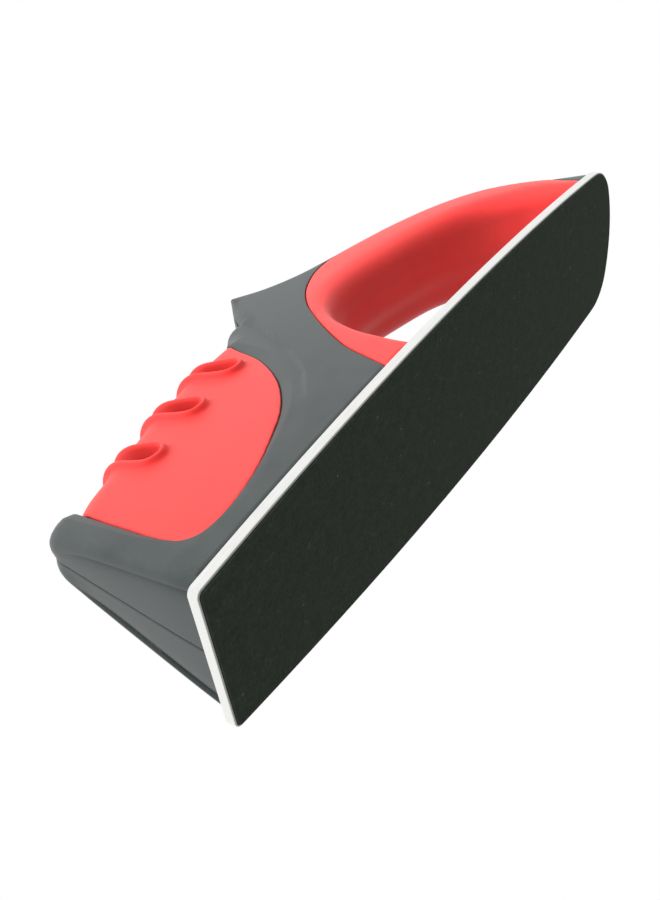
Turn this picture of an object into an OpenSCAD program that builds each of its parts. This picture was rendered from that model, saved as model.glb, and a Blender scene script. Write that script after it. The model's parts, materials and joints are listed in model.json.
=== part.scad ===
// Hand-held knife and scissors sharpener with a loop handle.
// Frame: X runs from the head (-X) to the handle (+X), Y across, Z up.
// The origin is on the resting face, under the middle of the base.
// Lengths are millimetres. A "station" is a distance measured back from the front of the pad.

/* [Base] */
// Length of the foam pad
pad_l = 200; // [190:1:215]
// Half width of the pad at its widest
pad_half_w = 24.1; // [23.6:0.1:24.8]
// Thickness of the foam pad
pad_t = 2; // [1.6:0.1:2.4]
// Width of the steel lip outside the pad
lip_w = 0.5; // [0.4:0.1:0.8]
// Height at which the steel lip starts
lip_z = 0.4; // [0.2:0.1:0.8]
// Height of the top of the steel tray, where the body stands
tray_top = 3; // [2.8:0.1:3.4]

/* [Body] */
// Distance that the body stands in from the edge of the pad
body_inset = 0.1; // [0.1:0.1:0.6]
// Inward lean of the long sides, in millimetres per millimetre of height
lean = 0.23; // [0.2:0.01:0.24]
// Thickness of the shell round the inner space
shell_t = 2; // [1.6:0.1:2.2]
// Thickness of the red saddle
cover_t = 2.2; // [1.8:0.1:2.4]
// Thickness of the red lining round the finger loop
grip_t = 2.6; // [2:0.1:3]

/* [Knife slots] */
// Width of a knife slot between its walls
slot_w = 5.4; // [5.2:0.1:5.8]
// Distance from one knife slot to the next
slot_pitch = 18.2; // [18:0.1:18.6]
// Backward tilt of the knife slots, in degrees
slot_tilt = 10; // [9:0.5:11]
// Station of the middle slot's lower end
slot_x = 51.5; // [51:0.5:52]
// Height of the middle slot's lower end
slot_z = 45.5; // [45:0.5:46]
// Height of the raised rim round each slot
rim_h = 1.8; // [1.2:0.1:2.2]
// Thickness of the raised rim
rim_t = 1.3; // [1:0.1:1.6]

/* [Sharpening stages] */
// Outer radius of the grinding wheels
wheel_r = 7.5; // [7:0.1:7.6]
// Distance from the slot's lower end down to the wheel axle
wheel_drop = 7; // [6.8:0.1:7.4]
// Diameter of the wheel axles
axle_d = 3; // [2.6:0.1:3.2]
// Radial running clearance of the hubs on their axles
axle_gap = 0.05; // [0.03:0.01:0.08]
// Half angle of the sharpening V, in degrees
v_angle = 20; // [16:1:22]
// Diameter of the ceramic scissors rod
rod_d = 3; // [2.6:0.1:3.2]

/* [Fasteners] */
// Diameter of the screw shanks
screw_d = 3; // [2.8:0.1:3.2]
// Diameter of the screw heads
head_d = 5.6; // [5.2:0.1:6]
// Height of the screw heads
head_h = 1.3; // [1.1:0.1:1.5]

/* [Hidden] */

$fn = 48;
side_fn = 1440;            // the long sides are arcs of a very large circle
side_r = 1020;             // radius of the long sides in plan
wide_x = 120;              // station of the widest point
rear_r = 38;               // radius of the rear edge in plan
corner_r = 13;             // radius of the rear corners in plan
front_r = 3;                // radius of the front corners in plan
front_y = half_at(front_r) - front_r;
corner_y = half_at(pad_l - corner_r) - corner_r;
corner_x = pad_l - rear_r + sqrt(pow(rear_r - corner_r, 2) - pow(corner_y, 2));
rear_flat_y = corner_y * rear_r / (rear_r - corner_r);
body_half_w = pad_half_w - body_inset;
red = "#e8403c";
grey = "#5c6664";
steel = "#c9ccce";
dark = "#2b322d";
white = "#eeeae0";

// Top line of the body in side view, from the nose to the rear end.
nose_line = [[0, 2], [0.4, 12], [2, 25], [4.2, 42], [5.2, 48], [8, 52.4], [15.4, 54]];
saddle_line = [[15.6, 51.8], [28, 55.4], [48, 61], [68, 65], [85, 66.6]];
rim_line = [[87, 67.6], [90, 70], [94.4, 71.6]];
ridge_tip = [111, 84.6];
handle_line = [[112, 83], [116, 77.6], [122, 73.6], [130, 70.4], [145, 67], [162, 62.6], [178, 56.4],
    [189, 49.6], [195.6, 41], [198.6, 30], [199.4, 16], [199.5, 2]];
// Finger loop in side view, from the foot of its front edge to the foot of its rear edge.
loop_line = [[79, 0], [82, 12], [86, 21], [92, 30], [98, 37], [105, 42], [114, 45.4], [126, 46.4], [140, 44.4],
    [154, 41], [165, 36.4], [172.6, 30], [176.2, 20], [177, 10], [177, 0]];
// Outer edge of the red lining in side view, over the same run.
grip_line = [[66, 0], [72, 11], [77, 19.6], [83, 28], [89, 35], [95, 41.4], [102, 48.6], [110, 55], [118, 59.6],
    [127, 63], [138, 64], [150, 61.6], [164, 57.4], [176, 52.4], [186, 46], [192.4, 38], [194.4, 28],
    [191.6, 19], [186, 11], [181, 0]];
// Edge of the red saddle in side view.
saddle_edge = [[15.6, 70], [14.8, 50], [13.6, 40], [12.2, 31], [11.1, 23], [10.7, 17.6], [11.2, 14], [13, 11.6],
    [16.4, 10.4], [22, 10.3], [30, 11.8], [40, 15.2], [49.3, 19.4], [56, 23.8], [63, 29.9], [69.4, 37.4],
    [75.2, 46], [80, 56], [86, 70]];
// Hollow of the head in side view.
head_room = [[7, 0], [11, 42], [17, 46.4], [48, 56], [82, 61], [86, 50], [84, 33], [70, 16], [64, 0]];

scissors_x = 97.2;         // station of the scissors slot
scissors_w = 4.8;          // width of the scissors slot
scissors_end = -2.4;       // closed end of the scissors slot
scissors_z = 54;           // floor of the scissors slot
holder_half = 4.6;         // half length of the scissors holder's pocket
holder_y = 7;              // half width of the scissors holder's pocket
holder_z = [49, 66];       // floor and top of the scissors holder's pocket
fit_gap = 0.1;             // gap round a part that drops into a pocket
cover_drop = 0.3;          // depth of the saddle's face below the shells
rod_tilt = 15;             // lean of the scissors rod, in degrees
rod_l = 14;                // length of the scissors rod

wheel_half = 3.3;          // half width of a pair of wheels
groove_r = 3.4;            // radius at the bottom of the V between two wheels
hub_r = 2.6;               // outer radius of a wheel hub
hub_half = 3.7;            // half length of a wheel hub
bay_half = 4.25;           // half width of a wheel bay in the chassis
bay_floor = -15.5;         // floor of the bays, in the slot frame
axle_half = 7.8;           // half length of a wheel axle
block_half = 5;            // half width of the carbide bay
chassis_low = -18;         // underside of the chassis, in the slot frame
chassis_top = 5;           // top of the chassis, in the slot frame
chassis_half = 27;         // half length of the chassis, in the slot frame
chassis_gap = 0.4;         // gap between the chassis and the shells' inner walls
leg_h = 26;                // height of the legs that carry the chassis
v_apex = -5;               // bottom of the carbide V, in the slot frame
blade_t = 1.2;             // thickness of a carbide blade
blade_w = 2.6;             // width of a carbide blade
blade_ends = [-5, 4];      // lower and upper end of a blade, along the blade
blade_gap = 0.05;          // gap between a blade and the slot's middle plane
holder_faces = [-6.4, -1.35]; // sides of the carbide holder
clamp_faces = [1.35, 3];   // sides of the carbide clamp
jaw_half = 1.6;            // half width of the notch that the carbide V stands in
rivet_d = 2;               // diameter of the carbide screws
rivet_w = [-7.8, -12];     // heights of the carbide screws, in the slot frame

// Screws through the right shell into the left shell: station, side of the head's seat, height.
shell_screw_at = [[22, 12, 17], [77.6, 15.5, 17], [112, 8.2, 52], [189, 11, 26]];
shell_screw_grip = 7.5;    // length of a shell screw beyond the parting plane
// Screws up through the tray: station and side.
base_screw_at = [[14, 9], [54, 17], [186, 11]];
chassis_screw_x = [31, 56];
low_screw_l = 9;           // length of the screws up through the tray
boss_d = 7;                // diameter of the bosses round the screws
leg_d = 8;                 // diameter of the chassis legs
hole_gap = 0.4;            // how much wider a clearance hole is than its screw
sink_gap = 0.6;            // how much wider the hole in the pad is than a screw head
sink_h = 0.2;              // height left free below a screw head
bore_l = 20;               // length of the wells that take the heads of the shell screws
washer_t = 0.45;           // thickness of a washer
washer_rim = 0.4;          // how far a washer stands out beyond its hub
wheel_face = 0.2;          // gap between the middle plane and a wheel's small face
wheel_chamfer = 0.5;       // chamfer on a wheel's outer edge

// Half width of the pad at station x, on the long side.
function half_at(x) = pad_half_w - pow(wide_x - x, 2) / (2 * side_r);
function blend(a, b, c, d, t) = 0.5 * (2 * b + (c - a) * t + (2 * a - 5 * b + 4 * c - d) * t * t
    + (3 * b - a - 3 * c + d) * t * t * t);
// A smooth line through the points p, with n steps between neighbours.
function smooth(p, n = 3) = concat([for (i = [0:len(p) - 2]) for (k = [0:n - 1])
    blend(p[max(i - 1, 0)], p[i], p[i + 1], p[min(i + 2, len(p) - 1)], k / n)], [p[len(p) - 1]]);

side_outline = concat(smooth(nose_line), smooth(saddle_line), smooth(rim_line, 2), [[97.2, 71.6], ridge_tip],
    smooth(handle_line));
loop_outline = smooth(loop_line);

module stations() {
    translate([-pad_l / 2, 0, 0])
        children();
}

// Extrudes a side view outline across the body.
module across(outline, y0 = -40, y1 = 40) {
    translate([0, y1, 0])
        rotate([90, 0, 0])
            linear_extrude(y1 - y0)
                polygon(outline);
}

module block(x0, x1, y0, y1, z0, z1) {
    translate([x0, y0, z0])
        cube([x1 - x0, y1 - y0, z1 - z0]);
}

// Space between the long sides. Half width w at the bottom z0, leaning in by k.
module long_sides(w, z0, h, k) {
    intersection_for(s = [-1, 1])
        translate([wide_x, s * (side_r - w), z0])
            cylinder(h = h, r1 = side_r, r2 = side_r - k * h, $fn = side_fn);
}

// Plan outline of the base, grown by g, from z0 over the height h.
module base_form(g, z0, h) {
    intersection() {
        long_sides(pad_half_w + g, z0, h, 0);
        translate([pad_l - rear_r, 0, z0])
            union() {
                cylinder(h = h, r = rear_r + g, $fn = 180);
                translate([-pad_l, -40, 0])
                    cube([pad_l, 80, h]);
            }
        union() {
            block(-g, front_r, -front_y, front_y, z0, z0 + h);
            block(front_r, corner_x, -40, 40, z0, z0 + h);
            block(corner_x, pad_l + g, -rear_flat_y, rear_flat_y, z0, z0 + h);
            for (s = [-1, 1]) {
                translate([front_r, s * front_y, z0])
                    cylinder(h = h, r = front_r + g);
                translate([corner_x, s * corner_y, z0])
                    cylinder(h = h, r = corner_r + g, $fn = 96);
            }
        }
    }
}

// Outer form of the whole body, drawn in by t at the sides and lowered by t on top.
module body_form(t = 0) {
    intersection() {
        long_sides(body_half_w - t, tray_top, 90, lean);
        translate([0, 0, -t])
            across(side_outline);
        base_form(-body_inset - t, 0, 90);
    }
}

// Frame of the knife slots: origin at the middle slot's lower end, Z up along the slots.
module slot_frame() {
    translate([slot_x, 0, slot_z])
        rotate([0, -slot_tilt, 0])
            children();
}

module at_slot(i) {
    slot_frame()
        translate([i * slot_pitch, 0, 0])
            children();
}

// One knife slot with a round lower end, grown by g, over the height h.
module slot_gap(g, h) {
    r = slot_w / 2 + g;
    union() {
        translate([-r, -30, slot_w / 2])
            cube([2 * r, 60, h]);
        translate([0, 30, slot_w / 2])
            rotate([90, 0, 0])
                cylinder(h = 60, r = r);
    }
}

module knife_gaps() {
    for (i = [-1:1])
        at_slot(i)
            slot_gap(0, 40);
}

// Slot for scissors: open on top and on the +Y side.
module scissors_gap() {
    block(scissors_x - scissors_w / 2, scissors_x + scissors_w / 2, scissors_end, 40, scissors_z, 90);
}

module cover_form() {
    intersection() {
        body_form(cover_drop);
        across(smooth(saddle_edge));
    }
}

module grip_form() {
    intersection() {
        body_form();
        difference() {
            across(smooth(grip_line));
            across(loop_outline);
        }
    }
}

// Grey core that the lining wraps.
module grip_core() {
    intersection() {
        body_form(grip_t);
        difference() {
            across(smooth(grip_line));
            translate([0, 0, grip_t])
                across(loop_outline);
            across([for (p = loop_outline) [p[0] - 3, p[1]]]);
            across([for (p = loop_outline) [p[0] + 3, p[1]]]);
        }
    }
}

// Screw of length l with its head seated at zero, the head hh high.
module screw(l, hh = head_h) {
    cylinder(h = l, d = screw_d);
    translate([0, 0, -hh])
        cylinder(h = hh, d = head_d);
}

// The shell screws, each with its head hh high.
module shell_screw_set(hh = head_h) {
    for (p = shell_screw_at)
        translate(p)
            rotate([90, 0, 0])
                screw(p[1] + shell_screw_grip, hh);
}

module each_base_screw() {
    for (p = base_screw_at)
        for (s = [-1, 1])
            translate([p[0], s * p[1], pad_t])
                children();
}

module each_chassis_screw() {
    for (x = chassis_screw_x)
        translate([x, 0, pad_t])
            children();
}

// Hollow of the head, with the bosses left standing.
module head_hollow() {
    difference() {
        intersection() {
            long_sides(body_half_w - cover_t - shell_t, tray_top, 70, lean);
            across(head_room);
            block(0, 90, -40, 40, tray_top, 90);
        }
        for (p = shell_screw_at)
            translate([p[0], 30, p[2]])
                rotate([90, 0, 0])
                    cylinder(h = 60, d = boss_d);
        each_base_screw()
            cylinder(h = low_screw_l + 2, d = boss_d);
    }
}

module shells() {
    difference() {
        body_form();
        difference() {
            intersection() {
                body_form(-1);
                across(smooth(saddle_edge));
            }
            body_form(cover_t);
        }
        difference() {
            grip_form();
            grip_core();
        }
        across(loop_outline);
        head_hollow();
        knife_gaps();
        scissors_gap();
        block(scissors_x - holder_half, scissors_x + holder_half, -holder_y, holder_y, holder_z[0], holder_z[1]);
        shell_screw_set(bore_l);
        each_base_screw()
            cylinder(h = low_screw_l, d = screw_d);
    }
}

module left_shell() {
    color(grey)
        stations()
            intersection() {
                shells();
                block(-1, pad_l + 1, -40, 0, 0, 90);
            }
}

module right_shell() {
    color(grey)
        stations()
            intersection() {
                shells();
                block(-1, pad_l + 1, 0, 40, 0, 90);
            }
}

module slot_cover() {
    color(red)
        stations()
            difference() {
                union() {
                    difference() {
                        cover_form();
                        body_form(cover_t);
                    }
                    intersection() {
                        for (i = [-1:1])
                            at_slot(i)
                                slot_gap(rim_t, 40);
                        difference() {
                            body_form(cover_drop - rim_h);
                            body_form(cover_t);
                        }
                        across(smooth(saddle_edge));
                    }
                }
                knife_gaps();
            }
}

module handle_grip() {
    color(red)
        stations()
            difference() {
                grip_form();
                grip_core();
            }
}

module base_plate() {
    color(steel)
        stations()
            difference() {
                base_form(lip_w, lip_z, tray_top - lip_z);
                base_form(0, 0, pad_t);
                each_base_screw()
                    cylinder(h = 3, d = screw_d + hole_gap);
                each_chassis_screw()
                    cylinder(h = 3, d = screw_d + hole_gap);
            }
}

module base_pad() {
    color(dark)
        stations()
            difference() {
                base_form(0, 0, pad_t);
                each_base_screw()
                    translate([0, 0, -head_h - sink_h])
                        cylinder(h = 3, d = head_d + sink_gap);
                each_chassis_screw()
                    translate([0, 0, -head_h - sink_h])
                        cylinder(h = 3, d = head_d + sink_gap);
            }
}

module chassis() {
    color(dark)
        stations()
            difference() {
                union() {
                    intersection() {
                        long_sides(body_half_w - cover_t - shell_t - chassis_gap, tray_top, 70, lean);
                        slot_frame()
                            block(-chassis_half, chassis_half, -20, 20, chassis_low, chassis_top);
                    }
                    for (x = chassis_screw_x)
                        translate([x, 0, tray_top])
                            cylinder(h = leg_h, d = leg_d);
                }
                at_slot(-1)
                    block(-block_half, block_half, -20, 20, bay_floor, 20);
                for (i = [0, 1]) {
                    at_slot(i)
                        block(-bay_half, bay_half, -20, 20, bay_floor, 20);
                    at_axle(i)
                        cylinder(h = 2 * axle_half, d = axle_d, center = true);
                }
                each_chassis_screw()
                    cylinder(h = low_screw_l, d = screw_d);
            }
}

// Side view of the carbide holder and clamp, extruded between two faces.
module carbide_cheek(y0, y1) {
    half = block_half - fit_gap;
    difference() {
        block(-half, half, y0, y1, bay_floor, 1);
        slot_gap(0, 10);
        block(-jaw_half, jaw_half, y0 - 1, y1 + 1, v_apex - 1, 2);
        rivets(30);
    }
}

module rivets(l) {
    for (w = rivet_w)
        translate([0, l / 2, w])
            rotate([90, 0, 0])
                cylinder(h = l, d = rivet_d);
}

module carbide_holder() {
    color(dark)
        stations()
            at_slot(-1)
                carbide_cheek(holder_faces[0], holder_faces[1]);
}

module carbide_clamp() {
    color(steel)
        stations()
            at_slot(-1)
                carbide_cheek(clamp_faces[0], clamp_faces[1]);
}

module carbide_blades() {
    color(steel)
        stations()
            at_slot(-1)
                for (s = [-1, 1])
                    difference() {
                        translate([0, s * (blade_t / 2 + blade_gap), v_apex])
                            rotate([0, s * v_angle, 0])
                                block(min(0, s * blade_w), max(0, s * blade_w), -blade_t / 2, blade_t / 2,
                                    blade_ends[0], blade_ends[1]);
                        rivets(30);
                    }
}

module carbide_screws() {
    color(steel)
        stations()
            at_slot(-1)
                for (w = rivet_w)
                    translate([0, clamp_faces[1], w])
                        rotate([90, 0, 0]) {
                            cylinder(h = 8, d = rivet_d);
                            translate([0, 0, -1])
                                cylinder(h = 1, d = 2 * rivet_d);
                        }
}

// Frame of a wheel set: Z along the axle of slot i.
module at_axle(i) {
    at_slot(i)
        translate([0, 0, -wheel_drop])
            rotate([0, 90, 0])
                children();
}

// One bevelled wheel, on the side s of its slot.
module wheel(s) {
    bevel = wheel_face + (wheel_r - groove_r) * tan(v_angle);
    mirror([0, 0, s < 0 ? 1 : 0])
        rotate_extrude($fn = 96)
            polygon([[hub_r, wheel_face], [groove_r, wheel_face], [wheel_r, bevel],
                [wheel_r, wheel_half - wheel_chamfer], [wheel_r - wheel_chamfer, wheel_half], [hub_r, wheel_half]]);
}

module hub() {
    difference() {
        cylinder(h = 2 * hub_half, r = hub_r, center = true);
        cylinder(h = 3 * hub_half, r = axle_d / 2 + axle_gap, center = true);
    }
}

module axle() {
    cylinder(h = 2 * axle_half, d = axle_d, center = true);
}

module diamond_wheel_front() {
    color("#8f9498")
        stations()
            at_axle(0)
                wheel(-1);
}

module diamond_wheel_rear() {
    color("#8f9498")
        stations()
            at_axle(0)
                wheel(1);
}

module diamond_hub() {
    color(steel)
        stations()
            at_axle(0)
                hub();
}

module diamond_axle() {
    color(steel)
        stations()
            at_axle(0)
                axle();
}

module ceramic_wheel_front() {
    color(white)
        stations()
            at_axle(1)
                wheel(-1);
}

module ceramic_wheel_rear() {
    color(white)
        stations()
            at_axle(1)
                wheel(1);
}

module ceramic_hub() {
    color(steel)
        stations()
            at_axle(1)
                hub();
}

module ceramic_axle() {
    color(steel)
        stations()
            at_axle(1)
                axle();
}

module wheel_washers() {
    color(steel)
        stations()
            for (i = [0, 1])
                for (s = [-1, 1])
                    at_axle(i)
                        translate([0, 0, s * (bay_half + hub_half) / 2])
                            difference() {
                                cylinder(h = washer_t, r = hub_r + washer_rim, center = true);
                                cylinder(h = 1, r = axle_d / 2 + axle_gap, center = true);
                            }
}

// The rod leans over the closed end of the scissors slot.
module rod() {
    translate([scissors_x, scissors_end, (holder_z[0] + holder_z[1]) / 2])
        rotate([0, rod_tilt, 0])
            cylinder(h = rod_l, d = rod_d, center = true);
}

module scissors_holder() {
    x = holder_half - fit_gap;
    y = holder_y - fit_gap;
    color(dark)
        stations()
            difference() {
                block(scissors_x - x, scissors_x + x, -y, y, holder_z[0] + fit_gap, holder_z[1] - fit_gap);
                scissors_gap();
                rod();
            }
}

module scissors_rod() {
    color(white)
        stations()
            rod();
}

module shell_screws() {
    color(steel)
        stations()
            shell_screw_set();
}

module chassis_screws() {
    color(steel)
        stations()
            each_chassis_screw()
                screw(low_screw_l);
}

module base_screws() {
    color(steel)
        stations()
            each_base_screw()
                screw(low_screw_l);
}

left_shell();
right_shell();
slot_cover();
handle_grip();
base_plate();
base_pad();
chassis();
carbide_holder();
carbide_clamp();
carbide_blades();
carbide_screws();
diamond_wheel_front();
diamond_wheel_rear();
diamond_hub();
diamond_axle();
ceramic_wheel_front();
ceramic_wheel_rear();
ceramic_hub();
ceramic_axle();
wheel_washers();
scissors_holder();
scissors_rod();
shell_screws();
chassis_screws();
base_screws();
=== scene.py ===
import contextlib
import json
import math

import bmesh
import bpy
import numpy as np
from mathutils import Matrix, Vector
from mathutils.geometry import delaunay_2d_cdt


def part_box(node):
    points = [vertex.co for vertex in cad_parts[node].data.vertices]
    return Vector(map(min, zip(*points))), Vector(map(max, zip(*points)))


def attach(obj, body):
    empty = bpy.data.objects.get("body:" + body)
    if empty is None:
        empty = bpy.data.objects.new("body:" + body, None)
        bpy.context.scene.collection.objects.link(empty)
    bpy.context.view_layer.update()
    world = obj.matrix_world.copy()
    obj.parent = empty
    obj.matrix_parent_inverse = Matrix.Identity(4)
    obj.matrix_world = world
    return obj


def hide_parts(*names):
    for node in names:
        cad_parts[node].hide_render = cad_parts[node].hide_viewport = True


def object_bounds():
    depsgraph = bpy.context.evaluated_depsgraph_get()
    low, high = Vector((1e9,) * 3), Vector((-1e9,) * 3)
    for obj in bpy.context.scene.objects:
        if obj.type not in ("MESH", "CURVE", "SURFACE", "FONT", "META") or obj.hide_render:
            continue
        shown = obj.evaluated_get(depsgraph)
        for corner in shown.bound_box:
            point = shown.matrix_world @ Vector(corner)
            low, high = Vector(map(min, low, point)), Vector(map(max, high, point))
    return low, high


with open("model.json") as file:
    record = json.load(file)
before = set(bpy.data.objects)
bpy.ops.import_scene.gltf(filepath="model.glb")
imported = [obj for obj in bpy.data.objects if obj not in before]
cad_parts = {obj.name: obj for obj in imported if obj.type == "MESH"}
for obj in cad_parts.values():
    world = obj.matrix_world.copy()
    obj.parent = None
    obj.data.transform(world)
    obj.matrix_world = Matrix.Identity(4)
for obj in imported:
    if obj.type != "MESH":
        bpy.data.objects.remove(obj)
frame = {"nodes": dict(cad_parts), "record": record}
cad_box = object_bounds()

# Lengths below are millimetres. A station x is measured back from the front of the pad, z is the height, and
# y is measured outwards from the middle plane. The side view is the x z plane.
MM = 0.001

# ---------------------------------------------------------------- driving dimensions, from the frame
pad_low, pad_high = (np.array(corner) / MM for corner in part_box("base_pad"))
plate_low, plate_high = (np.array(corner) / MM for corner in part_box("base_plate"))
FRONT = pad_low[0]                    # where station 0 lies along X
LENGTH = pad_high[0] - pad_low[0]
HALF = pad_high[1]                    # half width of the pad at its widest
LIP_W = plate_high[1] - HALF
LIP_Z = plate_low[2]
TRAY_TOP = plate_high[2]
PAD_T = pad_high[2]
TOP = cad_box[1][2] / MM

# ---------------------------------------------------------------- shape constants of the body
SIDE_R = 1020.0                       # radius of the long sides in plan
WIDE = 120.0                          # station of the widest point
INSET = 0.1                           # how far the body stands in from the pad's edge
LEAN = 0.23                           # inward lean of the sides
SHELL_T = 1.5                         # wall of the grey shells
GRIP_T = 2.2                          # wall of the loop's lining
SADDLE_T = 1.0                        # wall of the saddle
GAP = 0.12                            # gap between a red moulding and the shells
SEAM = 0.06                           # half the gap at the parting line
SEAM_DEPTH = 0.22                     # how far the shells' edges round down at the parting line
SEAM_ROUND = 0.4                      # width of that rounding
RED_DROP = 0.35                       # how far the red mouldings round down at their borders
RED_ROUND = 0.5                       # width of that rounding

# Side view of the body: station, height, radius of the edge, crown across the width.
NOSE = [
    (1.3, 3, 1.9, 0.2), (2.2, 12, 1.9, 0.2), (3.7, 25, 2, 0.1), (5.2, 38, 2.3, 0), (5.9, 45, 3, -0.2),
    (6.3, 49, 3.6, -0.3), (7.4, 51.6, 4, -0.3), (9.6, 53.2, 4.3, -0.1), (12, 53.9, 4.5, 0.1),
    (15.4, 54.1, 4.8, 0.3)]
SADDLE = [
    (4, 46, 6.5, 0.5), (15.4, 52.2, 6.5, 0.5), (28, 55.4, 6.8, 0.5), (48, 60.9, 7, 0.5), (68, 65, 7, 0.5),
    (86, 66.8, 6.5, 0.5), (100, 67.6, 6.5, 0.5)]
RIM = [
    (86, 66.9, 6, 0.4), (88.6, 68.6, 5.5, 0.4), (91.4, 70.6, 4.4, 0.3), (94.4, 71.4, 3.6, 0.2),
    (97.2, 71.2, 3, 0.1)]
RIDGE = [(97.2, 71.2, 3, 0.1), (104, 78.1, 1.6, 0.1), (111, 84.45, 0.8, 0.1)]
HANDLE = [
    (111, 84.45, 0.8, 0.1), (113.4, 81, 1.4, 0.15), (117, 76.8, 2.4, 0.2), (122, 73, 3.2, 0.3),
    (130, 69.8, 4.4, 0.4), (145, 66.6, 5.6, 0.5), (162, 62.4, 5.8, 0.6), (178, 56.2, 6, 0.7),
    (188.4, 49.4, 6.6, 0.8), (195, 41, 8, 0.9), (197.8, 30, 10, 1), (198.5, 16, 11.5, 1), (198.6, 3, 13, 1)]
LOOP = [
    (79, 3, 2.2, 0.3), (82, 12, 2.8, 0.4), (86, 21, 3.6, 0.6), (92, 30, 5, 0.9), (98, 36.6, 6.5, 1.2),
    (105, 41, 7.6, 1.5), (114, 43.8, 8, 1.6), (126, 44, 8, 1.6), (140, 41.8, 8, 1.5), (154, 38.6, 8, 1.4),
    (165, 34, 7.4, 1.2), (172, 28, 6.6, 1), (175.8, 19, 5.5, 0.7), (176.6, 10, 4.5, 0.5),
    (176.6, 3, 4, 0.4)]
# Side view of the borders of the red mouldings: station, height.
GRIP_EDGE = [
    (67.6, 3), (72, 11), (77, 19.6), (83, 27.6), (89, 34.8), (95, 41.4), (102, 48.6), (110, 55),
    (118, 59.6), (127, 63), (138, 64), (150, 61.6), (164, 57.4), (176, 52.4), (186, 46), (192.4, 38),
    (194.4, 28), (191.6, 19), (186, 11), (181.6, 3)]
SADDLE_EDGE = [
    (15.4, 54.1), (14.8, 49), (13.7, 41.5), (12.4, 32), (11.2, 23.5), (10.7, 17.6), (11, 14.2),
    (12.6, 11.8), (15.4, 10.6), (20, 10.2), (26, 10.8), (33, 12.5), (41, 15.6), (49.3, 19.4), (56, 23.8),
    (63, 29.9), (69.4, 37.4), (75.2, 46), (80.6, 57), (86, 66.9)]

# The bevel on the shells along the saddle's border: station, width, drop.
BEVEL = np.array([
    (18, 0.3, 0.1), (30, 0.4, 0.1), (40, 1.4, 0.4), (50, 2.1, 0.6), (63, 3, 0.8), (75, 3.2, 0.8),
    (80, 3, 0.7), (84, 2, 0.4)])
BEVEL_TOP = 66                        # height where its rear end has run out
BEVEL_FADE = 8                        # height over which it runs out there
# The same along the saddle's front border, ahead of the station BEVEL_FRONT: height, width, drop.
BEVEL_FRONT = 16
FRONT_BEVEL = np.array([(11, 0.3, 0.1), (16, 0.5, 0.1), (26, 1.6, 0.6), (50, 2.6, 0.95)])

# The step between head and handle: height, station of its foot, station of its top edge, depth.
STEP = np.array([
    (11, 45, 46.2, 0), (18, 56.8, 58.2, 0.25), (25, 65.8, 67.3, 0.6), (32, 72.2, 73.8, 0.8),
    (38.5, 77.6, 79, 0.95), (43.3, 81.2, 82.4, 1.15), (49.6, 85.5, 87, 1.45), (56.8, 90.3, 92.4, 1.75),
    (62.7, 93.8, 96.8, 1.95), (67, 95.6, 99.6, 2), (71.2, 97.2, 102.6, 2.1), (78, 104, 107.4, 2),
    (84.6, 110.8, 111, 1.2)])
STEP_FADE = np.array([(20, 8), (45, 16), (60, 26)])  # height, and how far the side takes to come out again
STEP_CURVE = 0.7                      # below 1, the side comes out late and then quickly

# The groove just inside the edges of the front face.
GROOVE_DEPTH = 1.1
GROOVE_W = 0.35                       # from the edge to the deepest place
GROOVE_FADE = 1.3                     # how slowly it comes up again towards the middle
GROOVE_TOP = 48                       # height where it has run out
GROOVE_END = 20                       # height over which it runs out
GROOVE_BACK = 10                      # last station that counts as the front face

# Rows of points that carry a surface's finer shape, as distances from the line that they follow.
BORDER_ROWS = (0.28, 0.6)
CREASE_ROWS = (-0.9, -0.4, 0.4, 0.9)
NEAR_EDGE = (0, 0.12, 0.24, 0.36, 0.6, 0.95, 1.4, 2, 2.8, 3.8)
NEAR_SEAM = (0.8, 0.4, 0.2, 0)
MID_EDGE, MID_SEAM, MID_COLUMNS = 5, 1.6, 9  # an even stretch between, from the edge to the seam
EDGE_TURNS = (14, 26, 38, 50, 62, 75, 90)  # degrees round a rounded edge


# ---------------------------------------------------------------- lines in the side view
def smooth(rows, pitch=1.2):
    """Rows of a Catmull-Rom line through the given rows, about pitch apart."""
    rows = np.array(rows, float)
    out = []
    for i in range(len(rows) - 1):
        a, b, c, d = rows[max(i - 1, 0)], rows[i], rows[i + 1], rows[min(i + 2, len(rows) - 1)]
        n = max(1, round(np.hypot(*(c - b)[:2]) / pitch))
        for t in np.arange(n) / n:
            out.append(0.5 * (2 * b + (c - a) * t + (2 * a - 5 * b + 4 * c - d) * t ** 2
                              + (3 * b - a - 3 * c + d) * t ** 3))
    out.append(rows[-1])
    return np.array(out)


def normals_of(line):
    """Unit normals on the left of each point of a line."""
    t = np.gradient(line[:, :2], axis=0)
    t /= np.linalg.norm(t, axis=1)[:, None]
    return np.c_[-t[:, 1], t[:, 0]]


def offset(line, by):
    """A line moved to its left."""
    out = line.copy()
    out[:, :2] += normals_of(line) * by
    return out


def flip(line):
    """The same line run the other way, so that its left is its other side."""
    return line[::-1].copy()


def foot_line(x0, x1, pitch=2.2):
    """Points along the top of the tray."""
    x = np.linspace(x0, x1, max(2, round(abs(x1 - x0) / pitch)))
    return np.c_[x, np.full(len(x), float(TRAY_TOP))]


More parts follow.
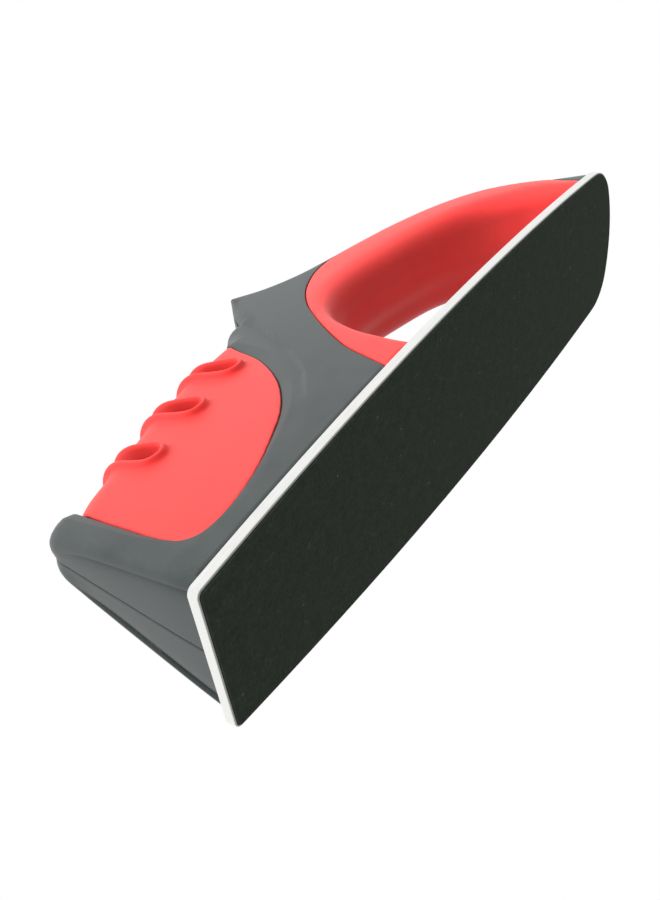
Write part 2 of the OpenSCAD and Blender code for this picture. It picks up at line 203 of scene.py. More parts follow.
def nearest(x, z, line):
    """Distance from points to a line, with the line's row and normal at the nearest place."""
    p = np.c_[np.ravel(x), np.ravel(z)]
    a, b = line[:-1], line[1:]
    ab = b[:, :2] - a[:, :2]
    t = ((p[:, None] - a[None, :, :2]) * ab).sum(2) / (ab ** 2).sum(1)
    t = np.clip(t, 0, 1)
    gap = p[:, None] - (a[None, :, :2] + t[..., None] * ab)
    d = np.hypot(gap[..., 0], gap[..., 1])
    k = d.argmin(1)
    row = np.arange(len(p))
    w = t[row, k][:, None]
    n = normals_of(line)
    return d[row, k], a[k] * (1 - w) + b[k] * w, n[k] * (1 - w) + n[k + 1] * w


def clearance(p, q, chunk=500):
    """Distance from each of p to the nearest of q, worked out a chunk at a time."""
    out = np.empty(len(p))
    for i in range(0, len(p), chunk):
        part = p[i:i + chunk]
        out[i:i + chunk] = np.sqrt(((part[:, None, :2] - q[None, :, :2]) ** 2).sum(2)).min(1)
    return out


def inside(x, z, outline):
    """True for points inside a closed outline."""
    x, z = np.ravel(x), np.ravel(z)
    a, b = outline[:, :2], np.roll(outline[:, :2], -1, axis=0)
    crosses = (a[None, :, 1] > z[:, None]) != (b[None, :, 1] > z[:, None])
    rise = np.where(b[:, 1] == a[:, 1], 1e-9, b[:, 1] - a[:, 1])
    at = a[None, :, 0] + (z[:, None] - a[None, :, 1]) * ((b[:, 0] - a[:, 0]) / rise)[None]
    return (crosses & (x[:, None] < at)).sum(1) % 2 == 1


def within(points, keep):
    """Those points where keep(x, z) is true."""
    return points[keep(points[:, 0], points[:, 1])]


def clear_of(points, others, margin):
    """Those points that are more than margin from all the others."""
    return points[clearance(points, others) > margin]


def ramp(v, low, high):
    """Smooth step from 0 at low to 1 at high."""
    t = np.clip((v - low) / (high - low + 1e-9), 0, 1)
    return t * t * (3 - 2 * t)


nose = smooth(NOSE)
back = np.vstack([smooth(RIM)[:-1], smooth(RIDGE)[:-1], smooth(HANDLE)])
saddle_top = smooth(SADDLE)
loop = smooth(LOOP)
grip_edge = smooth(GRIP_EDGE)
saddle_edge = smooth(SADDLE_EDGE)


# ---------------------------------------------------------------- the body's surface
def plan_half(x):
    """Half width of the pad on its long sides."""
    return HALF - (WIDE - x) ** 2 / (2 * SIDE_R)


def wall(x, z):
    """Half width of the leaning long sides."""
    return plan_half(x) - INSET - LEAN * (z - TRAY_TOP)


def step_in(x, z):
    """How far the side draws in on the head's side of the ridge."""
    foot, edge, depth = (np.interp(z, STEP[:, 0], STEP[:, k]) for k in (1, 2, 3))
    fade = np.interp(z, STEP_FADE[:, 0], STEP_FADE[:, 1])
    rise = np.clip((x - foot) / np.maximum(edge - foot, 0.01), 0, 1)
    return depth * (1 - rise) ** STEP_CURVE * np.exp(-np.maximum(foot - x, 0) / fade)


def side_point(x, z, lines, lift=0.0, bulge=0.0, on_line=0.002):
    """Surface points with rounded edges along the lines, moved out by lift. Within on_line is on a line."""
    half = wall(x, z) - step_in(x, z) + bulge
    draw = np.zeros(len(x))
    lean_in = np.zeros((len(x), 2))
    for line in lines:
        d, row, n = nearest(x, z, line)
        d = np.where(d < on_line, 0, d)
        t = np.clip(1 - d / row[:, 2], 0, 1)
        draw += row[:, 2] * (1 - np.sqrt(1 - t ** 2))
        lean_in += n * t[:, None]
    out = np.sqrt(np.clip(1 - (lean_in ** 2).sum(1), 0, 1))
    return np.c_[x + lean_in[:, 0] * lift, half - draw + out * lift, z + lean_in[:, 1] * lift]


def edge_drop(x, z, borders, depth=0.3, width=0.45):
    """How far a moulding's surface rounds down at its borders."""
    d = np.min([nearest(x, z, line)[0] for line in borders], axis=0)
    return depth * np.clip(1 - d / width, 0, 1) ** 2


def bevel_width(row):
    """Width of the shells' bevel at rows of the saddle's border."""
    front = np.interp(row[:, 1], FRONT_BEVEL[:, 0], FRONT_BEVEL[:, 1])
    return np.where(row[:, 0] < BEVEL_FRONT, front, np.interp(row[:, 0], BEVEL[:, 0], BEVEL[:, 1]))


def bevel_drop(x, z):
    """How far the shells slope down towards the saddle."""
    d, row, _ = nearest(x, z, saddle_edge)
    drop = np.interp(row[:, 0], BEVEL[:, 0], BEVEL[:, 2]) * ramp(BEVEL_TOP - row[:, 1], 0, BEVEL_FADE)
    front = np.interp(row[:, 1], FRONT_BEVEL[:, 0], FRONT_BEVEL[:, 2])
    drop = np.where(row[:, 0] < BEVEL_FRONT, front, drop)
    return drop * np.clip(1 - d / bevel_width(row), 0, 1)


# ---------------------------------------------------------------- meshes
SAME_POINT = 4e-6                     # metres
NO_LENGTH = 1e-7                      # metres
ROW_PITCH = 0.87                      # between rows of a staggered grid, over the pitch along them


def to_frame(points, side=1):
    """Points in metres in the frame, from points with y outwards on the side -1 (near) or 1 (far)."""
    return np.c_[points[:, 0] + FRONT, points[:, 1] * side, points[:, 2]] * MM


@contextlib.contextmanager
def edited(mesh):
    """A bmesh of a mesh, written back at the end."""
    bm = bmesh.new()
    bm.from_mesh(mesh)
    yield bm
    bm.to_mesh(mesh)
    bm.free()


def shade(mesh, angle):
    """Smooth shading, with edges sharper than the angle in degrees kept sharp."""
    mesh.shade_smooth()
    mesh.set_sharp_from_angle(angle=math.radians(angle))


def new_object(name, verts, faces, angle):
    """A mesh object from points in metres, with the points that coincide made one."""
    mesh = bpy.data.meshes.new(name)
    mesh.from_pydata([tuple(v) for v in verts], [], [tuple(int(i) for i in f) for f in faces])
    with edited(mesh) as bm:
        bmesh.ops.remove_doubles(bm, verts=bm.verts, dist=SAME_POINT)
        bmesh.ops.dissolve_degenerate(bm, edges=bm.edges, dist=NO_LENGTH)
    obj = bpy.data.objects.new(name, mesh)
    bpy.context.scene.collection.objects.link(obj)
    shade(mesh, angle)
    return obj


def thicken(obj, thickness):
    """Give a skin its wall, inwards."""
    mod = obj.modifiers.new("wall", "SOLIDIFY")
    mod.thickness = thickness * MM
    mod.offset = -1
    mod.use_even_offset = False
    mod.use_quality_normals = True


def triangulate(lines, points, keep, same=1e-4, sliver=1e-7):
    """Triangles over (line, closed) pairs, kept as edges, and loose points, where keep(x, z) is true."""
    verts = []
    edges = []
    for line, closed in lines:
        start = len(verts)
        verts += [tuple(p[:2]) for p in line]
        edges += [(start + i, start + i + 1) for i in range(len(line) - 1)]
        if closed:
            edges.append((len(verts) - 1, start))
    verts += [tuple(p) for p in points]
    out = delaunay_2d_cdt([Vector(v) for v in verts], edges, [], 0, same)
    xz = np.array([tuple(v) for v in out[0]])
    tris = np.array([f for f in out[2] if len(f) == 3])
    centre = xz[tris].mean(1)
    tris = tris[keep(centre[:, 0], centre[:, 1])]
    a, b, c = xz[tris[:, 0]], xz[tris[:, 1]], xz[tris[:, 2]]
    area = (b[:, 0] - a[:, 0]) * (c[:, 1] - a[:, 1]) - (b[:, 1] - a[:, 1]) * (c[:, 0] - a[:, 0])
    tris[area < 0] = tris[area < 0][:, ::-1]
    return xz, tris[np.abs(area) > sliver]


def spread(low, high, keep, taken, pitch, margin):
    """A staggered grid of loose points between two corners, margin away from the points already taken."""
    rows = []
    for k, z in enumerate(np.arange(low[1], high[1], pitch * ROW_PITCH)):
        x = np.arange(low[0] + (k % 2) * pitch / 2, high[0], pitch)
        rows.append(np.c_[x, np.full(len(x), z)])
    return clear_of(within(np.vstack(rows), keep), taken, margin)


def edge_rows(line, keep, others):
    """Loose points in rows along a rounded edge, apart from those that another stretch of it is nearer to."""
    n = normals_of(line)
    rows = []
    for turn in EDGE_TURNS:
        d = line[:, 2] * (1 - math.cos(math.radians(turn)))
        p = line[:, :2] - n * d[:, None]
        own = nearest(p[:, 0], p[:, 1], line)[0] > 0.94 * d
        rows.append(clear_of(within(p[own], keep), others, 0.3))
    return np.vstack(rows)


def ribbon(columns, place):
    """Points and quads of a grid with a column for each fraction, placed by place(fraction)."""
    grid = np.stack([place(fraction) for fraction in columns], axis=1)
    n, m = grid.shape[:2]
    quads = [(i * m + j, (i + 1) * m + j, (i + 1) * m + j + 1, i * m + j + 1)
             for i in range(n - 1) for j in range(m - 1)]
    return grid.reshape(-1, 3), quads


def tube(rings):
    """Points and quads between closed rings of equal length."""
    size = len(rings[0])
    quads = []
    for r in range(len(rings) - 1):
        for i in range(size):
            a, b = r * size + i, r * size + (i + 1) % size
            quads.append((a, a + size, b + size, b))
    return np.vstack(rings), quads


def halves(quads):
    """Two triangles for each quad."""
    return np.array([(a, b, c) for a, b, c, d in quads] + [(a, c, d) for a, b, c, d in quads])


def join(parts):
    """One array of points and one of triangles from several (points, triangles) pairs."""
    starts = np.cumsum([0] + [len(points) for points, _ in parts])
    faces = [tris + start for (_, tris), start in zip(parts, starts)]
    return np.vstack([points for points, _ in parts]), np.vstack(faces)


# ---------------------------------------------------------------- grey shells
def shell_lift(x, z):
    """How far a shell's surface stands out from the plain side: below zero along the red mouldings."""
    return -edge_drop(x, z, [saddle_edge, grip_edge]) - bevel_drop(x, z)


def shell_outline():
    """Closed outline of a shell in the side view."""
    foot_rear = foot_line(back[-1, 0], grip_edge[-1, 0])
    foot_front = foot_line(grip_edge[0, 0], nose[0, 0])
    return np.vstack([nose[:-1, :2], saddle_edge[:-1, :2], back[:, :2], foot_rear[1:-1],
                      grip_edge[::-1, :2], foot_front[1:-1]])


def shell_creases():
    """Lines where a shell's slope changes: the step's foot and top edge, and the inner edge of the bevel."""
    foot, edge = (smooth(STEP[1:-1, [k, 0]], 0.9) for k in (1, 2))
    border = smooth(SADDLE_EDGE, 0.8)
    width = bevel_width(border)
    bevel = border - normals_of(border) * width[:, None]
    return [foot, edge, bevel[width > max(CREASE_ROWS)]]


def shell_side():
    """Points and triangles of a shell's side in the side view."""
    ring = shell_outline()

    def keep(x, z):
        return inside(x, z, ring)

    rows = [offset(saddle_edge, -by) for by in BORDER_ROWS] + [offset(grip_edge, by) for by in BORDER_ROWS]
    loose = [within(row[2:-2, :2], keep) for row in rows]
    lines = [(ring, True)]
    for crease in shell_creases():
        for by in CREASE_ROWS:
            loose.append(clear_of(within(offset(crease, by), keep), ring, 0.5))
        lines.append((clear_of(within(crease, keep), ring, 0.5), False))
    folds = np.vstack([line for line, _ in lines])
    loose = clear_of(np.vstack(loose), folds, 0.2)
    near_by = np.vstack([loose, folds[len(ring):]])
    loose = np.vstack([loose, edge_rows(nose, keep, near_by), edge_rows(back, keep, near_by)])
    grid = spread((0, TRAY_TOP), (LENGTH, TOP), keep, np.vstack([folds, loose]), 2.0, 1.1)
    return triangulate(lines, np.vstack([loose, grid]), keep)


def front_groove(line, inward):
    """Depth of the groove on the front face, at distances inward from the edge."""
    depth = GROOVE_DEPTH * ramp(inward, 0, GROOVE_W) * np.exp(-np.maximum(inward - GROOVE_W, 0) / GROOVE_FADE)
    return depth * ramp(GROOVE_TOP - line[:, 1], 0, GROOVE_END) * (line[:, 0] < GROOVE_BACK)


def shell_rim(line):
    """Points and triangles of a shell from a rounded edge of its side to the parting line."""
    lift = shell_lift(line[:, 0], line[:, 1])
    n = normals_of(line)
    half = side_point(line[:, 0], line[:, 1], [nose, back], lift)[:, 1]

    def place(fraction):
        y = half + (SEAM - half) * fraction
        crown = line[:, 3] * (1 - np.cos(math.pi * fraction)) / 2
        seam = SEAM_DEPTH * np.clip(1 - (y - SEAM) / SEAM_ROUND, 0, 1) ** 2
        out = crown + lift - front_groove(line, half - y) - seam
        return np.c_[line[:, 0] + n[:, 0] * out, y, line[:, 1] + n[:, 1] * out]

    widest = half.max()
    columns = [d / widest for d in NEAR_EDGE]
    columns += list(np.linspace(MID_EDGE / widest, 1 - MID_SEAM / widest, MID_COLUMNS))
    columns += [1 - d / widest for d in NEAR_SEAM]
    points, quads = ribbon(columns, place)
    return points, halves(quads)


def shell(name, side):
    """One grey shell, on the side -1 (near) or 1 (far)."""
    xz, tris = shell_side()
    x, z = xz[:, 0], xz[:, 1]
    patch = side_point(x, z, [nose, back], shell_lift(x, z))
    points, faces = join([(patch, tris), shell_rim(nose), shell_rim(back)])
    if side > 0:
        faces = faces[:, ::-1]
    obj = new_object(name, to_frame(points, side), faces, 32)
    thicken(obj, SHELL_T)
    return obj


# ---------------------------------------------------------------- lining of the finger loop
GRIP_LOW = (60, TRAY_TOP)             # corners of a box round the lining in the side view
GRIP_HIGH = (LENGTH, 70)
GRIP_BULGE = 0.8                      # how far its sides swell out between their borders
GRIP_BULGE_Z = 16                     # height from which the swelling is full
into_body = flip(loop)                # the loop's line, with the body on its right


def grip_side(edge):
    """Points and triangles of the lining's side in the side view."""
    foot_front = foot_line(loop[0, 0], edge[0, 0], 1.6)
    foot_rear = foot_line(edge[-1, 0], loop[-1, 0], 1.6)
    ring = np.vstack([edge[:, :2], foot_rear[1:-1], loop[::-1, :2], foot_front[1:-1]])

    def keep(x, z):
        return inside(x, z, ring)

    loose = np.vstack([within(offset(edge, -by)[2:-2, :2], keep) for by in BORDER_ROWS])
    loose = np.vstack([loose, edge_rows(into_body, keep, loose)])
    grid = spread(GRIP_LOW, GRIP_HIGH, keep, np.vstack([ring, loose]), 2.0, 1.1)
    return triangulate([(ring, True)], np.vstack([loose, grid]), keep)


def grip_inside():
    """Points and quads of the lining's inside, from the near side across to the far side."""
    n = normals_of(loop)
    half = side_point(loop[:, 0], loop[:, 1], [into_body, back])[:, 1]

    def place(fraction):
        out = -loop[:, 3] * (1 + np.cos(math.pi * fraction)) / 2
        return np.c_[loop[:, 0] + n[:, 0] * out, half * fraction, loop[:, 1] + n[:, 1] * out]

    return ribbon(np.linspace(-1, 1, 25), place)


def grip():
    """The red lining of the finger loop."""
    edge = offset(grip_edge, -GAP)
    edge[[0, -1], 1] = TRAY_TOP
    xz, tris = grip_side(edge)
    x, z = xz[:, 0], xz[:, 1]
    to_edge = nearest(x, z, edge)[0]
    to_loop = nearest(x, z, loop)[0]
    across = to_edge / (to_edge + to_loop + 1e-6)
    bulge = GRIP_BULGE * np.sin(math.pi * across) * ramp(z, TRAY_TOP, GRIP_BULGE_Z)
    lift = -edge_drop(x, z, [edge], RED_DROP, RED_ROUND)
    side = side_point(x, z, [into_body, back], lift, bulge)
    lining, quads = grip_inside()
    points, faces = join([(side * [1, -1, 1], tris), (side, tris[:, ::-1]),
                          (lining, halves(quads)[:, ::-1])])
    obj = new_object("handle_grip_skin", to_frame(points), faces, 40)
    thicken(obj, GRIP_T)
    return obj


# ---------------------------------------------------------------- saddle with the knife slots
joints = {joint["name"]: joint for joint in frame["record"]["behaviour"]["joints"]}
axle_dir = np.array(joints["diamond_wheel_spin"]["axis"])
SLOT_C, SLOT_S = axle_dir[0], axle_dir[2]
WHEEL_DROP = 5.7                      # from a slot's lower end down to its wheel axle
SLOT_R = 2.9                          # radius of a slot's lower end
SLOT_TOP = 2.1                        # half width of a slot on top
SLOT_TAPER = (4, 13)                  # the stretch up along it where it narrows
SLOT_WAY = 40                         # longer than any slot's way down the side
SLOT_WALL = ((-0.3, 0.12), (0.6, 0.2), (1.8, 0.3), (3.3, 0.4))  # depth, and how much closer to the middle
# The raised rim round a slot: distance out from the slot's edge, and height there.
RIM_D = [0, 0.2, 0.45, 0.75, 1.0, 1.2, 1.5, 1.9, 2.5]
RIM_H = [1.5, 1.72, 1.8, 1.7, 1.42, 0.75, 0.3, 0.08, 0]
RIM_START = 3                         # behind the saddle's front border, where a rim reaches its height
SINK = 0.3                            # how far the saddle lies below the body's surface
NOSE_SINK = 0.8                       # how much more just behind the nose, up to NOSE_SINK_X
NOSE_SINK_X = 14
NOSE_SINK_FADE = 4
SADDLE_FRONT, SADDLE_REAR = 8, 92     # stations past both ends of the saddle
LONGEST_WAY = 80.0                    # longer than any way down its side
FLAT_LOW, FLAT_HIGH = (SADDLE_FRONT, -70), (90, 70)  # corners of a box round its flat pattern


def slot_foot(name):
    """Station and height of the lower end of the slot over a wheel joint."""
    x, _, z = np.array(joints[name]["pos_m"]) / MM
    return np.array([x - FRONT - WHEEL_DROP * SLOT_S, z + WHEEL_DROP * SLOT_C])


second, third = slot_foot("diamond_wheel_spin"), slot_foot("ceramic_wheel_spin")
SLOTS = [2 * second - third, second, third]


def in_slot(x, z, foot):
    """Places across a slot from its middle, and up along it from its lower end."""
    q = (x - foot[0]) * SLOT_C + (z - foot[1]) * SLOT_S
    w = -(x - foot[0]) * SLOT_S + (z - foot[1]) * SLOT_C
    return q, w


def slot_half(w):
    """Half width of a slot at a place up along it."""
    return SLOT_R - (SLOT_R - SLOT_TOP) * ramp(w, *SLOT_TAPER)


def slot_distance(x, z, foot):
    """Distance outwards from the edge of a slot."""
    q, w = in_slot(x, z, foot)
    return np.where(w > SLOT_R, np.abs(q) - slot_half(w), np.hypot(q, w - SLOT_R) - SLOT_R)


def saddle_height(x):
    """Height at which the saddle's side turns over into its top."""
    return np.interp(x, saddle_top[:, 0], saddle_top[:, 1])


class Flank:
    """The saddle's outer surface laid flat: x is the station and v the way down the side from the middle."""

    def __init__(self, x0, x1, x_pitch=0.5, v_pitch=0.25):
        self.x = np.arange(x0, x1 + x_pitch, x_pitch)
        self.v = np.arange(0, LONGEST_WAY, v_pitch)
        sections = [self.section(x) for x in self.x]
        self.y = np.array([y for y, _ in sections])
        self.z = np.array([z for _, z in sections])

    def section(self, x, side_rows=400, top_rows=20):
        """Half widths and heights at the ways self.v, for one station."""
        top = saddle_height(x)
        crown = np.interp(x, saddle_top[:, 0], saddle_top[:, 3])
        z = top - (top - TRAY_TOP) * (np.arange(side_rows) / (side_rows - 1)) ** 2
        y = np.maximum(side_point(np.full(side_rows, x), z, [saddle_top])[:, 1], 0)
        across = np.linspace(0, 1, top_rows)[:-1]
        y = np.concatenate([across * y[0], y])
        z = np.concatenate([top + crown * (1 + np.cos(math.pi * across)) / 2, z])
        way = np.concatenate([[0], np.cumsum(np.hypot(np.diff(y), np.diff(z)))])
        return np.interp(self.v, way, y), np.interp(self.v, way, z)

    def at(self, x, v):
        """Points at stations x and ways v, which are negative on the near side."""
        last = 1.001                   # keeps a point on the last row inside the last cell
        i = np.clip((x - self.x[0]) / (self.x[1] - self.x[0]), 0, len(self.x) - last)
        j = np.clip(np.abs(v) / self.v[1], 0, len(self.v) - last)
        i0, j0 = i.astype(int), j.astype(int)
        fi, fj = i - i0, j - j0

        def mix(t):
            return ((t[i0, j0] * (1 - fj) + t[i0, j0 + 1] * fj) * (1 - fi)
                    + (t[i0 + 1, j0] * (1 - fj) + t[i0 + 1, j0 + 1] * fj) * fi)
        return np.c_[x, mix(self.y) * np.sign(v), mix(self.z)]

    def way(self, x, z):
        """The way down the side at station x and height z."""
        i = np.clip(np.round((x - self.x[0]) / (self.x[1] - self.x[0])).astype(int), 0, len(self.x) - 1)
        return np.array([np.interp(-height, -self.z[k], self.v) for k, height in zip(i, z)])

    def normal(self, x, v, e=0.05):
        """Unit normals, from points e away on each side."""
        n = np.cross(self.at(x + e, v) - self.at(x - e, v), self.at(x, v + e) - self.at(x, v - e))
        return n / np.linalg.norm(n, axis=1)[:, None]


flank = Flank(SADDLE_FRONT, SADDLE_REAR)


def both_flanks(half):
    """A closed outline in the flat pattern, from its half on the far side."""
    return np.vstack([half * [1, -1], half[1:-1][::-1]])


def slot_side(foot, out, sign):
    """One long side of a slot's outline in the flat pattern, from the middle down to its round end."""
    v = np.arange(0, SLOT_WAY, 0.7)
    x = np.full(len(v), foot[0])
    for _ in range(12):                # each round brings x and w closer to each other's value
        z = flank.at(x, v)[:, 2]
        w = in_slot(x, z, foot)[1]
        x = foot[0] + (sign * (slot_half(w) + out) - (z - foot[1]) * SLOT_S) / SLOT_C
    return np.c_[x, v][w > SLOT_R + 0.3]


def slot_ring(foot, out):
    """Closed outline round a slot in the flat pattern, grown by out."""
    a = np.radians(np.linspace(0, -180, 15))
    q = (SLOT_R + out) * np.cos(a)
    w = SLOT_R + (SLOT_R + out) * np.sin(a)
    x = foot[0] + q * SLOT_C - w * SLOT_S
    z = foot[1] + q * SLOT_S + w * SLOT_C
    end = np.c_[x, flank.way(x, z)]
    return both_flanks(np.vstack([slot_side(foot, out, 1), end, slot_side(foot, out, -1)[::-1]]))


def saddle_outline():
    """Closed outline of the saddle in the flat pattern."""
    edge = offset(saddle_edge, GAP)
    edge[0, 0] = saddle_edge[0, 0] + GAP
    edge[-1, 0] = saddle_edge[-1, 0] - GAP
    low = edge[edge[:, 1] < saddle_height(edge[:, 0]) - 0.3]
    v = flank.way(low[:, 0], low[:, 1])
    front = np.arange(0, v[0] - 0.4, 1.0)
    rear = np.arange(0, v[-1] - 0.4, 1.0)[::-1]
    return both_flanks(np.vstack([np.c_[np.full(len(front), edge[0, 0]), front], np.c_[low[:, 0], v],
                                  np.c_[np.full(len(rear), edge[-1, 0]), rear]]))


def saddle_pattern(ring, border):
    """Points and triangles of the saddle in the flat pattern, with closer rows round slots and borders."""
    slots = [slot_ring(foot, 0) for foot in SLOTS]

    def keep(x, v):
        ok = inside(x, v, ring)
        for slot in slots:
            ok &= ~inside(x, v, slot)
        return ok

    lines = [(ring, True)]
    for foot in SLOTS:
        lines += [(slot_ring(foot, out), True) for out in RIM_D]
    taken = np.vstack([line for line, _ in lines])
    rows = np.vstack([offset(border, by)[2:-2] for by in (0.3, 0.65, -0.3, -0.65)])
    rows = clear_of(within(rows, keep), taken, 0.2)
    grid = spread(FLAT_LOW, FLAT_HIGH, keep, np.vstack([taken, rows]), 1.5, 0.8)
    return triangulate(lines, np.vstack([rows, grid]), keep)


def saddle_sink(x):
    """How far the saddle lies below the body's surface at a station."""
    return SINK + NOSE_SINK * np.exp(-np.maximum(x - NOSE_SINK_X, 0) / NOSE_SINK_FADE)


def slot_walls(foot):
    """Points and triangles of the walls from a slot's rim down into the head."""
    ring = slot_ring(foot, 0)
    base, n = flank.at(ring[:, 0], ring[:, 1]), flank.normal(ring[:, 0], ring[:, 1])
    q = in_slot(base[:, 0], base[:, 2], foot)[0]
    rings = [base + n * (RIM_H[0] - saddle_sink(ring[:, 0]))[:, None]]
    for depth, closer in SLOT_WALL:
        shift = np.sign(q) * np.minimum(closer, np.abs(q))
        rings.append(base - n * depth - np.outer(shift, (SLOT_C, 0, SLOT_S)))
    points, quads = tube(rings)
    return points, halves(quads)


def face_out(obj):
    """Turn all faces of an open skin the same way, with its top upwards."""
    with edited(obj.data) as bm:
        bmesh.ops.recalc_face_normals(bm, faces=bm.faces)
        top = max(bm.faces, key=lambda face: face.calc_center_median().z)
        if top.normal.z < 0:
            bmesh.ops.reverse_faces(bm, faces=bm.faces)


def saddle():
    """The red saddle over the head, with three knife slots."""
    ring = saddle_outline()
    border = np.vstack([ring, ring[:1]])
    xv, tris = saddle_pattern(ring, border)
    x, v = xv[:, 0], xv[:, 1]
    base = flank.at(x, v)
    from_slot = np.min([slot_distance(x, base[:, 2], foot) for foot in SLOTS], axis=0)
    rim = np.interp(from_slot, RIM_D, RIM_H) * ramp(x, ring[0, 0], ring[0, 0] + RIM_START)
    sink = saddle_sink(x) + edge_drop(x, v, [border], RED_DROP, RED_ROUND)
    skin = base + flank.normal(x, v) * (rim - sink)[:, None]
    points, faces = join([(skin, tris)] + [slot_walls(foot) for foot in SLOTS])
    obj = new_object("slot_cover_skin", to_frame(points), faces, 50)
    face_out(obj)
    thicken(obj, SADDLE_T)
    return obj


# ---------------------------------------------------------------- steel tray and foam pad
REAR_R = 38.0                         # radius of the rear edge in plan
CORNER_R = 13.0                       # radius of the rear corners in plan
FRONT_R = 1.3                         # radius of the front corners in plan


def arc_rows(x, y, r, angles):
    """Rows of an arc round (x, y) at angles in degrees: x, y and the outward normal."""
    a = np.radians(angles)
    n = np.c_[np.cos(a), np.sin(a)]
    return np.c_[r * n + (x, y), n]


def plan_outline():
    """Closed outline of the pad in plan, from the middle of its front: x, y and the outward normal."""
    front_y = plan_half(FRONT_R) - FRONT_R
    rear_y = plan_half(LENGTH - CORNER_R) - CORNER_R
    rear_x = LENGTH - REAR_R
    corner_x = rear_x + math.sqrt((REAR_R - CORNER_R) ** 2 - rear_y ** 2)
    turn = math.degrees(math.atan2(rear_y, corner_x - rear_x))
    front = [(0, fraction * front_y, -1, 0) for fraction in np.linspace(0, 1, 8)[:-1]]
    x = np.linspace(FRONT_R + 1.5, corner_x, 80)
    half = np.vstack([front,
                      arc_rows(FRONT_R, front_y, FRONT_R, np.linspace(180, 92, 12)),
                      np.c_[x, plan_half(x), (x - WIDE) / SIDE_R, np.ones(len(x))],
                      arc_rows(corner_x, rear_y, CORNER_R, np.linspace(88, turn, 16)),
                      arc_rows(rear_x, 0, REAR_R, np.linspace(turn, 0, 9)[1:])])
    return np.vstack([half, half[1:-1][::-1] * [1, -1, 1, -1]])


def swept_round(name, profile, angle=30):
    """Closed solid whose profile goes round the plan outline: (growth, height) rows from the top down."""
    plan = plan_outline()
    n = plan[:, 2:] / np.linalg.norm(plan[:, 2:], axis=1)[:, None]
    points, quads = tube([np.c_[plan[:, :2] + n * growth, np.full(len(plan), z)] for growth, z in profile])
    obj = new_object(name, to_frame(points), quads, angle)
    with edited(obj.data) as bm:
        bmesh.ops.holes_fill(bm, edges=[edge for edge in bm.edges if edge.is_boundary])
        bmesh.ops.recalc_face_normals(bm, faces=bm.faces)
    shade(obj.data, angle)
    return obj


def tray():
    """The steel tray: a flat plate with a rounded lip that hangs over the pad's edge."""
    t, b, w = TRAY_TOP, LIP_Z, LIP_W
    return swept_round("steel_tray", [
        (-1, t), (w - 0.4, t), (w - 0.2, t - 0.05), (w - 0.06, t - 0.18), (w, t - 0.4), (w, b + 0.3),
        (w - 0.05, b + 0.14), (w - 0.15, b + 0.04), (w - 0.26, b), (0.12, b), (0.04, b + 0.08),
        (0.02, b + 0.3), (0.02, PAD_T), (-1, PAD_T)])


def pad():
    """The foam pad, with a rounded lower edge."""
    top = PAD_T - 0.02
    return swept_round("foam_pad", [
        (-1, top), (-0.05, top), (-0.05, 0.4), (-0.1, 0.2), (-0.24, 0.06), (-0.5, 0), (-1, 0)])


# ---------------------------------------------------------------- materials
class Finish:
    """A node material. Object coordinates in metres feed its textures, and the shader takes the results."""

    def __init__(self, name, **sockets):
        self.mat = bpy.data.materials.new(name)
        self.mat.use_nodes = True
        self.nodes = self.mat.node_tree.nodes
        self.links = self.mat.node_tree.links
        self.shader = self.nodes["Principled BSDF"]
        for socket, value in sockets.items():
            self.shader.inputs[socket.replace("_", " ")].default_value = value
        self.coords = self.nodes.new("ShaderNodeTexCoord").outputs["Object"]

    def stretched(self, scale):
        """The coordinates scaled along each axis."""
        node = self.nodes.new("ShaderNodeMapping")
        node.inputs["Scale"].default_value = scale
        self.links.new(self.coords, node.inputs["Vector"])
        return node.outputs["Vector"]

    def noise(self, size_mm, detail=3, roughness=0.5, vector=None):
        node = self.nodes.new("ShaderNodeTexNoise")
        node.inputs["Scale"].default_value = 1 / (size_mm * MM)
        node.inputs["Detail"].default_value = detail
        node.inputs["Roughness"].default_value = roughness
        self.links.new(vector or self.coords, node.inputs["Vector"])
        return node.outputs["Fac"]

    def cells(self, size_mm):
        node = self.nodes.new("ShaderNodeTexVoronoi")
        node.inputs["Scale"].default_value = 1 / (size_mm * MM)
        self.links.new(self.coords, node.inputs["Vector"])
        return node.outputs["Distance"]

    def shades(self, value, *stops):
        """Colours by value, from (value, colour) stops in rising order."""
        node = self.nodes.new("ShaderNodeValToRGB")
        elements = node.color_ramp.elements
        for element, (position, colour) in zip(elements, (stops[0], stops[-1])):
            element.position = position
            element.color = (*colour, 1)
        for position, colour in stops[1:-1]:
            elements.new(position).color = (*colour, 1)
        self.links.new(value, node.inputs["Fac"])
        return node.outputs["Color"]

    def spanned(self, value, low, high, from_low=0.3, from_high=0.7):
        """The value's range from_low to from_high taken to low to high."""
        node = self.nodes.new("ShaderNodeMapRange")
        node.inputs["From Min"].default_value = from_low
        node.inputs["From Max"].default_value = from_high
        node.inputs["To Min"].default_value = low
        node.inputs["To Max"].default_value = high
        self.links.new(value, node.inputs["Value"])
        return node.outputs["Result"]

    def add(self, a, b, weight):
        """a + b * weight."""
        node = self.nodes.new("ShaderNodeMath")
        node.operation = "MULTIPLY_ADD"
        self.links.new(b, node.inputs[0])
        node.inputs[1].default_value = weight
        self.links.new(a, node.inputs[2])
        return node.outputs["Value"]

    def bump(self, value, depth_mm, strength):
        node = self.nodes.new("ShaderNodeBump")
        node.inputs["Strength"].default_value = strength
        node.inputs["Distance"].default_value = depth_mm * MM
        self.links.new(value, node.inputs["Height"])
        self.links.new(node.outputs["Normal"], self.shader.inputs["Normal"])

    def colour(self, value):
        self.links.new(value, self.shader.inputs["Base Color"])

    def roughness(self, value):
        self.links.new(value, self.shader.inputs["Roughness"])


